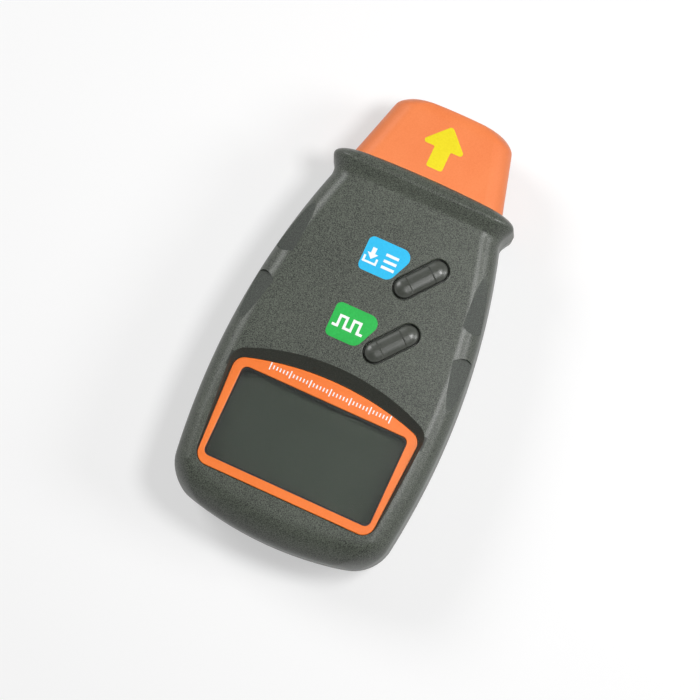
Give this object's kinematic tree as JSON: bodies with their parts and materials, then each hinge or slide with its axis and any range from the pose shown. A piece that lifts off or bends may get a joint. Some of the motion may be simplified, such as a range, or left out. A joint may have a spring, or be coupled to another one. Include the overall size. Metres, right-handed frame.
{
  "type": "laser tachometer",
  "caption": "Handheld laser tachometer with a grained grey case, orange nose, sunk display in an orange frame, slanted buttons and a sliding battery cover.",
  "frame": {"origin": "centre of the part's bounding box, on the plane of the case's back", "axes": "+Y from the bottom end to the nose, +Z out of the display face, +X to the right of a reader"},
  "size_m": [0.069, 0.131, 0.029],
  "materials": {
    "case_grey": "matte",
    "nose_orange": "satin",
    "frame_orange": "satin",
    "clear_pane": "polished",
    "display_glass": "polished",
    "ring_white": "matte",
    "contact_rubber": "matte",
    "button_grey": "satin",
    "switch_black": "satin",
    "board_green": "satin",
    "chip_black": "matte",
    "bright_steel": "satin",
    "capacitor_blue": "satin",
    "optics_black": "matte",
    "lens_glass": "polished",
    "barrel_brass": "satin",
    "sensor_dark": "polished",
    "battery_jacket": "satin",
    "lead_red": "satin",
    "lead_black": "satin"
  },
  "bodies": {
    "case": {"front_case": "case_grey", "rear_case": "case_grey", "nose_cap": "nose_orange", "display_frame": "frame_orange", "display_window": "clear_pane", "lcd_panel": "display_glass", "lcd_ring": "ring_white", "contact_strips": "contact_rubber", "store_switch": "switch_black", "measure_switch": "switch_black", "main_board": "board_green", "controller_chip": "chip_black", "crystal": "bright_steel", "capacitor": "capacitor_blue", "board_screws": "bright_steel", "optics_holder": "optics_black", "receiver_lens": "lens_glass", "laser_barrel": "barrel_brass", "photo_sensor": "sensor_dark", "sensor_board": "board_green", "holder_screws": "bright_steel", "battery": "battery_jacket", "battery_snap": "chip_black", "positive_lead": "lead_red", "negative_lead": "lead_black", "case_screws": "bright_steel"},
    "store_key": {"store_button": "button_grey", "store_plunger": "switch_black"},
    "measure_key": {"measure_button": "button_grey", "measure_plunger": "switch_black"},
    "cover": {"battery_cover": "case_grey"}
  },
  "joints": [
    {"name": "store_press", "type": "slide", "parent": "case", "child": "store_key", "axis": [0, 0, -1], "range_m": [0, 0.0005], "stiffness_N_per_m": 2000},
    {"name": "measure_press", "type": "slide", "parent": "case", "child": "measure_key", "axis": [0, 0, -1], "range_m": [0, 0.0005], "stiffness_N_per_m": 2000},
    {"name": "cover_slide", "type": "slide", "parent": "case", "child": "cover", "axis": [0, -1, 0], "range_m": [0, 0.06]}
  ]
}
